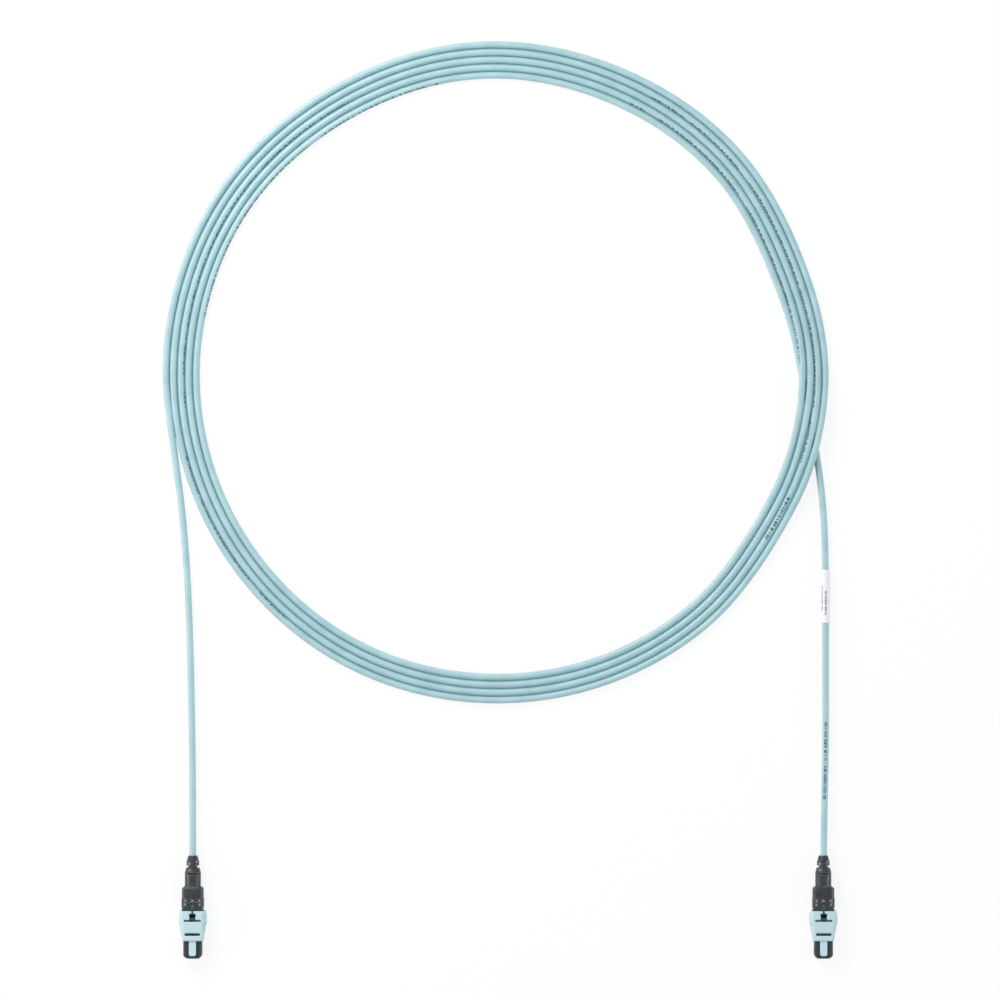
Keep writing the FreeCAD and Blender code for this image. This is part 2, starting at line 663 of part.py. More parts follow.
def rear_bore():
    """The rear housing's inside: the flange's seat, room for the crimp ring, the boot's socket."""
    seat = bar(
        PUSH_FLANGE_W + 2 * TIGHT, PUSH_FLANGE_H + 2 * TIGHT, REAR_FRONT, POST_FRONT + TIGHT
    )
    room = rod(CRIMP_D + 4 * FIT, POST_FRONT, REAR_END)
    socket = rod(BOOT_PLUG_D + 2 * TIGHT, REAR_END - BOOT_PLUG_LEN - FIT, REAR_END)
    groove = rod(
        BOOT_RING_D + 2 * TIGHT, boot_ring_front() - TIGHT,
        boot_ring_front() + BOOT_RING_LEN + TIGHT,
    )
    return [seat, room, socket, groove]


def boot_ring_front():
    """Where the ring on the boot's plug starts: at the middle of the plug."""
    return REAR_END - (BOOT_PLUG_LEN + BOOT_RING_LEN) / 2


def boot():
    """The strain relief: a plug held in the rear housing, a barrel, and a slotted, tapered tail."""
    slot_front = REAR_END + BOOT_BARREL_LEN
    cone_front = slot_front + BOOT_SLOT_LEN
    notch_front = cone_front + BOOT_CONE_LEN
    tip_front = notch_front + BOOT_NOTCH_LEN
    step = tip_front + BOOT_TIP_STEP
    shape = turned([
        (0, REAR_END - BOOT_PLUG_LEN),
        (BOOT_PLUG_D / 2, REAR_END - BOOT_PLUG_LEN),
        (BOOT_PLUG_D / 2, boot_ring_front()),
        (BOOT_RING_D / 2, boot_ring_front()),
        (BOOT_RING_D / 2, boot_ring_front() + BOOT_RING_LEN),
        (BOOT_PLUG_D / 2, boot_ring_front() + BOOT_RING_LEN),
        (BOOT_PLUG_D / 2, REAR_END),
        (BOOT_D / 2, REAR_END),
        (BOOT_D / 2, cone_front),
        (BOOT_CONE_D / 2, notch_front),
        (BOOT_TIP_D / 2, tip_front),
        (BOOT_TIP_D / 2 - TIGHT, step),
        (BOOT_TIP_D / 2 - 5 * TIGHT, step + TIGHT),
        (BOOT_END_D / 2, BOOT_TIP_END),
        (0, BOOT_TIP_END),
    ])
    for cut in boot_slots(slot_front, notch_front, step) + boot_windows():
        shape = shape.cut(cut)
    return shape.cut(boot_bore())


def boot_slots(slot_front, notch_front, step):
    """The cross slots that let the tail bend: top and bottom, then both sides, then top and bottom."""
    floor = CORD_BORE_D / 2 + BOOT_BORE_WALL
    deep = BOOT_D / 2
    top = bar(BOOT_SLOT_W, deep, slot_front, slot_front + BOOT_SLOT_LEN, floor + deep / 2)
    side = bar(deep, BOOT_D, notch_front, notch_front + BOOT_NOTCH_LEN, 0, BOOT_WEB / 2 + deep / 2)
    last = bar(
        BOOT_SLOT_W * 0.7, deep, step - BOOT_SLOT_LEN * 0.7, step, floor + deep / 2
    )
    return [top, mirrored_z(top), side, mirrored_x(side), last, mirrored_z(last)]


def boot_windows():
    """Small holes from top to bottom through the tail, each over one edge of the cord."""
    windows = []
    for side, from_tip in BOOT_WINDOWS:
        y = BOOT_TIP_END - from_tip
        windows.append(bar(
            BOOT_WINDOW_W, BOOT_D, y - BOOT_WINDOW_LEN / 2, y + BOOT_WINDOW_LEN / 2, 0, side * CORD_D / 2
        ))
    return windows


def boot_bore():
    """The boot's inside: wide over the crimp ring's barrel, then its neck, then the cord."""
    barrel = rod(CRIMP_D + 2 * FIT, REAR_END - BOOT_PLUG_LEN, CRIMP_NECK + FIT)
    neck = rod(CORD_D + 2 * (TIGHT + CRIMP_NECK_WALL + FIT), CRIMP_NECK, CRIMP_END + FIT)
    cord = rod(CORD_BORE_D, CRIMP_NECK, BOOT_TIP_END)
    return [barrel, neck, cord]


def plug_pieces():
    """Every piece of one plug by name, about the plug's own axis."""
    retracted = mirrored_z(polarity_key())
    retracted.translate(V(0, KEY_SLIDE, 0))
    return {
        "front_housing": front_housing(),
        "outer_sleeve": outer_sleeve(),
        "polarity_key_top": polarity_key(),
        "polarity_key_bottom": retracted,
        "ferrule": ferrule(),
        "ferrule_boot": ferrule_boot(),
        "fibre_ribbon": fibre_ribbon(),
        "pin_keeper": pin_keeper(),
        "main_spring": main_spring(),
        "spring_push": spring_push(),
        "sleeve_spring_left": sleeve_spring(-1),
        "sleeve_spring_right": sleeve_spring(1),
        "crimp_ring": crimp_ring(),
        "rear_housing": rear_housing(),
        "boot": boot(),
    }


# ---------------------------------------------------------------- cord
def band_arc(centre_x, radius_out, radius_in, height, start, sweep):
    """Part of the coil's flat band: its section turned about (centre_x, COIL_Y), in degrees."""
    c = BAND_CHAMFER
    outline = [
        (radius_in + c, 0), (radius_out - c, 0), (radius_out, c), (radius_out, height - c),
        (radius_out - c, height), (radius_in + c, height), (radius_in, height - c), (radius_in, c),
    ]
    points = [V(centre_x + r, COIL_Y, z) for r, z in outline]
    face = Part.Face(Part.makePolygon(points + points[:1]))
    centre = V(centre_x, COIL_Y, 0)
    face.rotate(centre, V(0, 0, 1), start)
    return face.revolve(centre, V(0, 0, 1), sweep)


def coil_band(height, with_inner_turn=True):
    """The coil's outer shape. The upper half turns about one centre, the lower about another,
    half a pitch to the right, so that each half turn runs on into the next one in."""
    half = CORD_D / 2
    lower_turns = UPPER_TURNS - 1
    outer, lower_outer = COIL_R + half, COIL_R - COIL_PITCH / 2 + half
    inner = COIL_R - (lower_turns - 1) * COIL_PITCH - half
    lower_x = COIL_X + COIL_PITCH / 2
    parts = [
        band_arc(COIL_X, outer, inner, height, 0, LEAVE_ANGLE),
        band_arc(lower_x, lower_outer, inner - COIL_PITCH / 2, height, 180, 180),
    ]
    full_inner = inner - COIL_PITCH if with_inner_turn else inner
    parts.append(band_arc(COIL_X, outer, full_inner, height, LEAVE_ANGLE, 180 - LEAVE_ANGLE))
    return parts[0].fuse(parts[1:])


def crossing_hump():
    """The rise of the turns where the innermost one passes under them on the right."""
    foot0, crest0, crest1, foot1 = CROSSING_Y
    side = [(foot0, 0), (foot0, CORD_D), (crest0, 2 * CORD_D), (crest1, 2 * CORD_D), (foot1, CORD_D), (foot1, 0)]
    points = [V(COIL_X + COIL_R / 2, y, z) for y, z in side]
    ramp = Part.Face(Part.makePolygon(points + points[:1])).extrude(V(COIL_R, 0, 0))
    return coil_band(2 * CORD_D, with_inner_turn=False).common(ramp)


def cord_coil():
    return coil_band(CORD_D).fuse(crossing_hump()).removeSplitter()


def smooth_path(points, name):
    """Straight runs joined by tangent arcs, each as large as its two runs allow."""
    edges, start, radii = [], points[0], []
    for before, corner, after in zip(points, points[1:], points[2:]):
        to_back, to_front = (before - corner), (after - corner)
        reach = 0.45 * min(to_back.Length, to_front.Length)
        half_turn = (math.pi - to_back.getAngle(to_front)) / 2
        radii.append(reach / math.tan(half_turn))
        to_back.normalize()
        to_front.normalize()
        inward = (to_back + to_front).normalize()
        first, last = corner + to_back * reach, corner + to_front * reach
        middle = corner + inward * (radii[-1] * (1 / math.cos(half_turn) - 1))
        edges.append(Part.LineSegment(start, first).toShape())
        edges.append(Part.Arc(first, middle, last).toShape())
        start = last
    edges.append(Part.LineSegment(start, points[-1]).toShape())
    path = Part.Wire(edges)
    print(name, "length", round(path.Length, 1), "radii", [round(r) for r in radii])
    return path


def tube_along(path, diameter):
    start = path.OrderedVertexes[0].Point
    ahead = path.OrderedEdges[0].tangentAt(path.OrderedEdges[0].FirstParameter)
    ring = Part.Wire(Part.makeCircle(diameter / 2, start, ahead))
    return path.makePipeShell([ring], True, False, 0)


def tail_path(side, route, name):
    """From the crimp ring straight out through the boot, then along the route."""
    start = V(side * PLUG_SPACING / 2, PLUG_Y + CORD_START, AXIS_Z)
    return smooth_path([start] + [V(*p) for p in route], name)


def cord_pieces():
    left_path = tail_path(-1, LEFT_ROUTE, "left tail")
    right_path = tail_path(1, RIGHT_ROUTE, "right tail")
    left, right = tube_along(left_path, CORD_D), tube_along(right_path, CORD_D)
    for name, tube, path in (("left", left, left_path), ("right", right, right_path)):
        ratio = tube.Volume / (math.pi * CORD_D ** 2 / 4 * path.Length)
        print(name, "tail volume over section times length", round(ratio, 5))
    coil = cord_coil()
    slab = Part.makeBox(
        PLUG_SPACING, LABEL_LEN, 4 * LABEL_D, V(0, LABEL_FROM, -2 * LABEL_D)
    )
    label = tube_along(right_path, LABEL_D).common(slab).cut(right)
    return {
        "cord_tail_left": left,
        "cord_coil": coil,
        "cord_tail_right": right.cut(coil),
        "marker_label": label,
    }


# ---------------------------------------------------------------- all pieces
def all_pieces():
    pieces = {}
    for end, side in (("a", -1), ("b", 1)):
        for name, shape in plug_pieces().items():
            shape.translate(V(side * PLUG_SPACING / 2, PLUG_Y, AXIS_Z))
            pieces[name + "_" + end] = shape
    pieces.update(cord_pieces())
    return pieces


os.makedirs("parts", exist_ok=True)
for node, shape in all_pieces().items():
    shape.exportStep("parts/" + node + ".step")
    print(node, "solids", len(shape.Solids), "volume", round(shape.Volume, 2), shape.isValid())
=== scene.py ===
import math

import bpy
import numpy as np
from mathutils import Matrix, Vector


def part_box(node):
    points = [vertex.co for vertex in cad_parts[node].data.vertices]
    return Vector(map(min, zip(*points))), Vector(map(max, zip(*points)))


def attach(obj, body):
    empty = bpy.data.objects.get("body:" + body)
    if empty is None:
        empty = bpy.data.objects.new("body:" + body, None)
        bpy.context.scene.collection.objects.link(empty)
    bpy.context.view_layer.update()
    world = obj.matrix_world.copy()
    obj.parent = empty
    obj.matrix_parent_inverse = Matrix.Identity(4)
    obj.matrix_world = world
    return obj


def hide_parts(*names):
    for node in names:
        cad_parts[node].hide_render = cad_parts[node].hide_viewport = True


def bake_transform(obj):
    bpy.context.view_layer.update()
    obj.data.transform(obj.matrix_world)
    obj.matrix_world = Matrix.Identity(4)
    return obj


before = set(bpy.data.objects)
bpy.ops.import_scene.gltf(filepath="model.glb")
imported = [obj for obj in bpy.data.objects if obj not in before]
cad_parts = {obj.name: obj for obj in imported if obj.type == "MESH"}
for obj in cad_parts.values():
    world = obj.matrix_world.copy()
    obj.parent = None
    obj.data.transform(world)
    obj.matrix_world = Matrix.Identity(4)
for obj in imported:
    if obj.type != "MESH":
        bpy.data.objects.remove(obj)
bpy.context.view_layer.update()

# A coiled multi-fibre patch cord with a push-pull MPO plug on each end, in metres, in the CAD frame:
# +Z up, z = 0 the table, +Y from the plugs towards the coil. Plug a is on the left, plug b on the right.

MM = 0.001
ENDS = ("a", "b")

# ---------------------------------------------------------------- the cord's own sizes
CORD_D = 3.5 * MM
CORD_R = CORD_D / 2
COIL_R = 171.6 * MM            # the outermost turn's centre line
COIL_PITCH = 4.0 * MM
UPPER_X = -7.3 * MM            # centre of the upper half turns
LOWER_X = UPPER_X + COIL_PITCH / 2
COIL_X = -6.3 * MM             # middle of the whole coil
COIL_Y = 277.0 * MM
UPPER_TURNS = 5

# The coil's control points go clockwise from the left. 36 of them lead from one crossing to the next,
# so that each crossing lies midway between two points, which are the two at the top of its hump.
POINTS_BETWEEN_CROSSINGS = 36
POINT_STEP = 9.881             # degrees
FIRST_POINT = 0.8              # degrees round from the left
HUMP_FIRST_POINT = 19          # the two points over the outermost turn's crossing are this and the next
LAST_POINT = 162               # where the innermost turn leaves the coil to pass under the others
HUMP_RISE = 3.75 * MM          # how much the turns lift over the crossing end

# Where the wound turns bulge or dip together, as a hand-wound coil does: the angle of the middle from
# +X and half the width, in degrees, and how far they move out, in mm
SWAY = (
    (180.0, 60.0, -0.7), (160.0, 25.0, -0.3), (121.0, 33.0, -1.7), (68.0, 24.0, -0.7), (23.0, 18.0, -1.9),
    (0.0, 13.0, 0.9), (-32.0, 18.0, -2.3), (-115.0, 25.0, 0.4),
)

PLUG_X = 163.8 * MM            # how far either plug's axis lies from x = 0
LEFT_TAIL = [
    (-0.1638, 0.00635, 0.0049),
    (-0.1638, 0.0460, 0.0049),
    (-0.1643, 0.0880, 0.00225),
    (-0.1653, 0.1340, 0.00175),
    (-0.1668, 0.1720, 0.00175),
    (-0.1694, 0.2050, 0.00175),
    (-0.1728, 0.2300, 0.00175),
    (-0.1762, 0.2540, 0.00175),
]
RIGHT_TAIL = [
    (0.1482, 0.3010, 0.00175),
    (0.1534, 0.2740, 0.00175),
    (0.1606, 0.2360, 0.00175),
    (0.1643, 0.2060, 0.00175),
    (0.1653, 0.1720, 0.00240),
    (0.1651, 0.1320, 0.00225),
    (0.1653, 0.0880, 0.00250),
    (0.1642, 0.0470, 0.0049),
    (0.1638, 0.00635, 0.0049),
]


# ---------------------------------------------------------------- camera
VIEW_WIDTH = 520 * MM
VIEW_X, VIEW_Y = -4.2 * MM, 211.5 * MM
VIEW_FOCUS_Z = 3.0 * MM        # the height at which the view is that wide: the cord's upper half


def make_camera():
    """Looks straight down on the middle of the object through a long lens."""
    data = bpy.data.cameras.new("camera")
    data.lens = 200.0
    data.sensor_width = 36.0
    data.clip_end = 50.0
    camera = bpy.data.objects.new("camera", data)
    camera.location = (VIEW_X, VIEW_Y, VIEW_WIDTH / data.sensor_width * data.lens + VIEW_FOCUS_Z)
    bpy.context.scene.collection.objects.link(camera)
    bpy.context.scene.camera = camera


# ---------------------------------------------------------------- meshes from numpy grids
def link_mesh(name, points, faces, smooth=True):
    """A mesh object at the origin from whole arrays of points and of four-cornered faces."""
    mesh = bpy.data.meshes.new(name)
    mesh.vertices.add(len(points))
    mesh.vertices.foreach_set("co", np.ascontiguousarray(points, np.float32).ravel())
    mesh.loops.add(faces.size)
    mesh.loops.foreach_set("vertex_index", np.ascontiguousarray(faces, np.int32).ravel())
    mesh.polygons.add(len(faces))
    mesh.polygons.foreach_set("loop_start", np.arange(len(faces), dtype=np.int32) * faces.shape[1])
    mesh.update(calc_edges=True)
    mesh.polygons.foreach_set("use_smooth", np.full(len(faces), smooth))
    mesh.validate()
    piece = bpy.data.objects.new(name, mesh)
    bpy.context.scene.collection.objects.link(piece)
    return piece


def grid_faces(rows, columns, close_rows=False, close_columns=True):
    """Four-cornered faces of a rows x columns grid of points, closed round in one or both directions."""
    r = np.arange(rows if close_rows else rows - 1)[:, None]
    c = np.arange(columns if close_columns else columns - 1)[None, :]
    r1, c1 = (r + 1) % rows, (c + 1) % columns
    corners = [r * columns + c, r * columns + c1, r1 * columns + c1, r1 * columns + c]
    return np.stack(np.broadcast_arrays(*corners), axis=-1).reshape(-1, 4)


def set_uv(piece, u, v):
    """Gives the piece a UV map from one (u, v) pair per point."""
    layer = piece.data.uv_layers.new(name="along_and_round")
    index = np.zeros(len(piece.data.loops), np.int32)
    piece.data.loops.foreach_get("vertex_index", index)
    layer.data.foreach_set("uv", np.stack([u[index], v[index]], axis=-1).astype(np.float32).ravel())


def set_attribute(piece, name, values):
    """Gives the piece one number per point, under a name that its material reads."""
    attribute = piece.data.attributes.new(name, "FLOAT", "POINT")
    attribute.data.foreach_set("value", values.astype(np.float32))


def frames_along(path):
    """Tangent, side and upper direction at each point of a path that never runs straight up.

    tangent = the difference of the two neighbours, made one long; side = tangent x Z; up = side x tangent.
    """
    tangent = np.gradient(path, axis=0)
    tangent /= np.linalg.norm(tangent, axis=1, keepdims=True)
    side = np.cross(tangent, np.array([0.0, 0.0, 1.0]))
    side /= np.linalg.norm(side, axis=1, keepdims=True)
    return tangent, side, np.cross(side, tangent)


def lengths_along(path):
    """The length of the path up to each of its points."""
    return np.concatenate([[0.0], np.cumsum(np.linalg.norm(np.diff(path, axis=0), axis=1))])


def circles(angle, side, up):
    """cos a side + sin a up: a circle of radius 1 at each point of a path, one row of points each."""
    return np.cos(angle)[None, :, None] * side[:, None] + np.sin(angle)[None, :, None] * up[:, None]


def closed_tube(path, rings, radius):
    """The points of a tube, path + radius x rings, with a row at either end run in to the path's own end,
    so that a small disc closes it."""
    ends = [np.repeat(path[i][None, None], rings.shape[1], axis=1) for i in (0, -1)]
    return np.concatenate([ends[0], path[:, None] + radius * rings, ends[1]]).reshape(-1, 3)


# ---------------------------------------------------------------- cord
def sway(angle):
    """How far out the turns lie at an angle: the sum of a cos(90 d / w)^2, with d the distance from a
    bulge's middle, w half its width and a its amount."""
    total = np.zeros_like(angle)
    for middle, width, amount in SWAY:
        off = (angle - middle + 180.0) % 360.0 - 180.0
        total += amount * MM * np.cos(math.pi / 2 * np.clip(off / width, -1, 1)) ** 2
    return total


def coil_points():
    """Control points of all the turns, as one array.

    A point stands at the angle 180 - t about the centre of its half turn, t growing by POINT_STEP. The
    upper halves turn about UPPER_X and the lower ones, half a pitch smaller, about LOWER_X, so each
    runs on into the next one in. The distance is radius / cos(step / 2), so that the middle of each run
    touches the circle. Over a crossing, two points have the height radius + HUMP_RISE.
    """
    i = np.arange(LAST_POINT + 1)
    t = FIRST_POINT + i * POINT_STEP
    turn = t // 360
    angle = 180.0 - t % 360
    lower = angle < 0
    radius = COIL_R - (turn + 0.5 * lower) * COIL_PITCH + sway(angle)
    reach = radius / math.cos(math.radians(POINT_STEP / 2))
    x = np.where(lower, LOWER_X, UPPER_X) + reach * np.cos(np.radians(angle))
    y = COIL_Y + reach * np.sin(np.radians(angle))
    over = ((i - HUMP_FIRST_POINT) % POINTS_BETWEEN_CROSSINGS < 2) & (turn < UPPER_TURNS - 1)
    return np.stack([x, y, CORD_R + HUMP_RISE * over], axis=-1)


def route_points():
    """Every control point of the cord, from inside the left boot to inside the right one."""
    return LEFT_TAIL + [tuple(p) for p in coil_points()] + RIGHT_TAIL


def route_curve():
    """The cord's line: one open NURBS spline of order 3 that starts and ends on its end points."""
    points = route_points()
    data = bpy.data.curves.new("cord_route", "CURVE")
    data.dimensions = "3D"
    data.resolution_u = 12
    spline = data.splines.new("NURBS")
    spline.points.add(len(points) - 1)
    spline.points.foreach_set("co", np.array([(*p, 1.0) for p in points]).ravel())
    spline.order_u = 3
    spline.use_endpoint_u = True
    return bpy.data.objects.new("cord_route", data)


def read_route():
    """The points of the cord's line, as Blender works them out from the spline."""
    curve = route_curve()
    bpy.context.scene.collection.objects.link(curve)
    mesh = bpy.data.meshes.new_from_object(curve)
    path = np.zeros(len(mesh.vertices) * 3)
    mesh.vertices.foreach_get("co", path)
    bpy.data.objects.remove(curve)
    bpy.data.meshes.remove(mesh)
    return path.reshape(-1, 3)


# The jacket's print as plain strokes: each line's start and end along the cord in metres, and how far it
# lies round the jacket from the top towards the coil's inside in degrees (the cord twists as it is coiled).
PRINT_LINES = (
    (1.195, 1.299, 66.0), (1.689, 1.913, 62.0), (1.925, 1.957, 4.0), (2.367, 2.561, 64.0), (3.727, 3.899, 64.0),
    (4.428, 4.612, 56.0), (5.067, 5.108, 2.0),
)


def make_cord(path, sides=20):
    """The jacket: a circle of radius CORD_R carried along the path, p + r (cos a side + sin a up).

    The point with a = 90 degrees is the top. Both ends are closed by a small disc, inside the boots. Its
    points carry, in mm, how far they lie round from the middle of the print line, how far they lie within
    that line's two ends, and how far along the cord they are.
    """
    _, side, up = frames_along(path)
    angle = np.linspace(0, 2 * math.pi, sides, endpoint=False)
    points = closed_tube(path, circles(angle, side, up), CORD_R)
    faces = grid_faces(len(path) + 2, sides)
    cord = link_mesh("cord", points, faces[:, ::-1])
    along = lengths_along(path)
    along_rows = np.concatenate([along[:1], along, along[-1:]])
    u = np.repeat(along_rows, sides)
    v = np.tile(angle / (2 * math.pi), len(path) + 2)
    set_uv(cord, u, v)
    start, end, twist = np.array(PRINT_LINES).T
    line = np.radians(90.0 - np.interp(u, np.stack([start, end], 1).ravel(), np.repeat(twist, 2)))
    off = np.angle(np.exp(1j * (v * 2 * math.pi - line)))
    inside = np.minimum(u[:, None] - start, end - u[:, None]).max(axis=1)
    set_attribute(cord, "from_print", off * CORD_R / MM)
    set_attribute(cord, "in_print", inside / MM)
    set_attribute(cord, "along", u / MM)
    return cord


LABEL_R = 2.25 * MM
LABEL_STEP = 0.12 * MM         # the film's overlap
LABEL_EDGE = 0.1 * MM          # the rounding of its two ends
LABEL_GAP = 0.01 * MM          # between the film and the jacket
LABEL_FROM_Y, LABEL_TO_Y = 0.1476, 0.1751
LABEL_PAST_X = 0.15            # the right tail lies beyond this, the left one doesn't
LABEL_ROWS = 24
LABEL_SEAM = 0.004             # the share of a round in which the film steps back
LABEL_SEAM_AT = 200.0          # degrees round from the cord's side


def make_label(path, columns=48):
    """The marker label: a film wound once round the cord, with its outer edge lying over its start.

    Its radius grows evenly with the angle from LABEL_R - LABEL_STEP to LABEL_R and steps back at the
    seam. Along the cord the section runs out at one end, along the outside, in at the other end and
    back along the jacket, so the film is closed.
    """
    spare = 10 * MM
    level = (path[:, 1] > LABEL_FROM_Y - spare) & (path[:, 1] < LABEL_TO_Y + spare)
    near = path[level & (path[:, 0] > LABEL_PAST_X)]
    at = np.linspace(LABEL_FROM_Y, LABEL_TO_Y, LABEL_ROWS)
    order = np.argsort(near[:, 1])
    line = np.stack([np.interp(at, near[order, 1], near[order, i]) for i in range(3)], axis=-1)
    tangent, side, up = frames_along(line)
    share = np.concatenate([np.linspace(0, 1 - LABEL_SEAM, columns - 1), [1 - LABEL_SEAM / 2]])
    grown = np.concatenate([np.linspace(0, 1, columns - 1), [0.0]])
    angle = 2 * math.pi * share + math.radians(LABEL_SEAM_AT)
    ring = circles(angle, side, up)
    outer = (LABEL_R - LABEL_STEP * (1 - grown))[None, :, None]
    points = np.concatenate([
        line[:1, None] + (outer - LABEL_EDGE) * ring[:1] - LABEL_EDGE * tangent[:1, None],
        line[:, None] + outer * ring,
        line[-1:, None] + (outer - LABEL_EDGE) * ring[-1:] + LABEL_EDGE * tangent[-1:, None],
        line[::-1, None] + (CORD_R + LABEL_GAP) * ring[::-1],
    ])
    label = link_mesh("wrap_label", points.reshape(-1, 3), grid_faces(len(points), columns, close_rows=True))
    along = np.linspace(0, 1, len(line))
    u = np.repeat(np.concatenate([[0.0], along, [1.0], np.linspace(1, 0, len(line))]), columns)
    set_uv(label, u, np.tile(share, len(points)))
    return label


# ---------------------------------------------------------------- plug details
# the CAD node of each spring, its wire, its turns and the body that pushes its front end
SPRINGS = (
    ("main_spring", 0.5 * MM, 6, "ferrule_body"),
    ("sleeve_spring_left", 0.25 * MM, 7, "sleeve_body"),
    ("sleeve_spring_right", 0.25 * MM, 7, "sleeve_body"),
)
END_TURN_RISE = 1.12           # how much the first and the last turn climb, in wires


def make_spring(node, wire, turns, steps=26, sides=10):
    """A spring of round wire in the space of its CAD node.

    The wire's middle follows (x + a cos t, y(t), z + b sin t). y climbs by a little over one wire in the
    turn at either end, and evenly over the turns between them. A circle of the wire's radius is carried
    along it, square to its tangent, and a small disc closes either end.
    """
    low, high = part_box(node)
    a, b = (high.x - low.x - wire) / 2, (high.z - low.z - wire) / 2
    x, z = (low.x + high.x) / 2, (low.z + high.z) / 2
    turn = np.arange(turns * steps + 1) / steps
    end_rise = END_TURN_RISE * wire
    worked = np.clip(turn - 1, 0, turns - 2) / (turns - 2)
    rise = high.y - low.y - wire - 2 * end_rise
    y = low.y + wire / 2 + end_rise * (np.minimum(turn, 1) + np.maximum(turn - turns + 1, 0)) + rise * worked
    t = 2 * math.pi * turn
    path = np.stack([x + a * np.cos(t), y, z + b * np.sin(t)], 1)
    tangent = np.gradient(path, axis=0)
    tangent /= np.linalg.norm(tangent, axis=1)[:, None]
    out = np.stack([b * np.cos(t), np.zeros_like(t), a * np.sin(t)], 1)
    out -= (out * tangent).sum(1)[:, None] * tangent
    out /= np.linalg.norm(out, axis=1)[:, None]
    angle = np.linspace(0, 2 * math.pi, sides, endpoint=False)
    points = closed_tube(path, circles(angle, out, np.cross(tangent, out)), wire / 2)
    spring = link_mesh(node + "_wire", points, grid_faces(len(path) + 2, sides))
    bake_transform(spring)
    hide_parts(node)
    return spring


FIBRE_COUNT = 12
FIBRE_PITCH = 0.25 * MM
FIBRE_R = 0.0625 * MM
FIBRE_PROUD = 0.02 * MM
FIBRE_CLEAR = 0.002 * MM       # between the ferrule's face and a dome's rim


def make_fibre_ends(end, x, y, z, rings=4, sides=12):
    """The polished fibre ends in the ferrule's face, in one row about (x, y, z). Each is a low dome:
    radius r from FIBRE_R to 0, proud by FIBRE_PROUD (1 - (r / FIBRE_R)^2)."""
    r = np.linspace(1, 0, rings)[None, :, None]
    a = np.linspace(0, 2 * math.pi, sides, endpoint=False)[None, None, :]
    centre = (x + (np.arange(FIBRE_COUNT) - (FIBRE_COUNT - 1) / 2) * FIBRE_PITCH)[:, None, None]
    px = centre + FIBRE_R * r * np.cos(a)
    py = y - FIBRE_PROUD * (1 - r ** 2) - FIBRE_CLEAR
    pz = z + FIBRE_R * r * np.sin(a)
    points = np.stack(np.broadcast_arrays(px, py, pz), axis=-1).reshape(FIBRE_COUNT, -1, 3)
    one = grid_faces(rings, sides)
    faces = (one[None] + (np.arange(FIBRE_COUNT) * rings * sides)[:, None, None]).reshape(-1, 4)
    piece = link_mesh("fibre_ends_" + end, points.reshape(-1, 3), faces)
    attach(piece, "ferrule_body_" + end)
    return piece


# ---------------------------------------------------------------- materials
def linear(red, green, blue, alpha=1.0):
    """A colour given as 0 to 255 on screen, as the linear values that a shader takes."""
    c = np.array([red, green, blue]) / 255.0
    return (*np.where(c <= 0.04045, c / 12.92, ((c + 0.055) / 1.055) ** 2.4), alpha)


def feed(tree, socket, value):
    """Links the socket to another one, or gives it a plain value."""
    if isinstance(value, bpy.types.NodeSocket):
        tree.links.new(value, socket)
    else:
        socket.default_value = value


def add(tree, kind, inputs=None, **settings):
    """A node of that kind, with its settings and its inputs, each a value or another node's output."""
    node = tree.nodes.new(kind)
    for key, value in settings.items():
        setattr(node, key, value)
    for key, value in (inputs or {}).items():
        feed(tree, node.inputs[key], value)
    return node


def math_node(tree, operation, a, b=None):
    """The result of one arithmetic step on sockets or numbers."""
    inputs = {0: a} if b is None else {0: a, 1: b}
    return add(tree, "ShaderNodeMath", inputs, operation=operation).outputs[0]


def product(tree, first, *others):
    """The product of several sockets or numbers."""
    for other in others:
        first = math_node(tree, "MULTIPLY", first, other)
    return first


def distance_from(tree, value, middle):
    """How far the value lies from the middle, on either side."""
    return math_node(tree, "ABSOLUTE", math_node(tree, "SUBTRACT", value, middle))


def blend_colour(tree, share, a, b):
    """Colour a where share is 0 and b where it is 1."""
    return add(tree, "ShaderNodeMix", {"Factor": share, 6: a, 7: b}, data_type="RGBA").outputs[2]


def spread(tree, value, low, high, to_low=0.0, to_high=1.0):
    """value brought from the range low..high to to_low..to_high, and held inside it."""
    node = add(tree, "ShaderNodeMapRange", {
        "Value": value, "From Min": low, "From Max": high, "To Min": to_low, "To Max": to_high,
    })
    return node.outputs[0]


def new_group(name, inputs, outputs):
    """An empty shader node group with named float, vector and colour sockets."""
    group = bpy.data.node_groups.new(name, "ShaderNodeTree")
    for direction, sockets in (("INPUT", inputs), ("OUTPUT", outputs)):
        for socket_name, kind, *default in sockets:
            socket = group.interface.new_socket(socket_name, in_out=direction, socket_type="NodeSocket" + kind)
            if default:
                socket.default_value = default[0]
    return group, group.nodes.new("NodeGroupInput"), group.nodes.new("NodeGroupOutput")


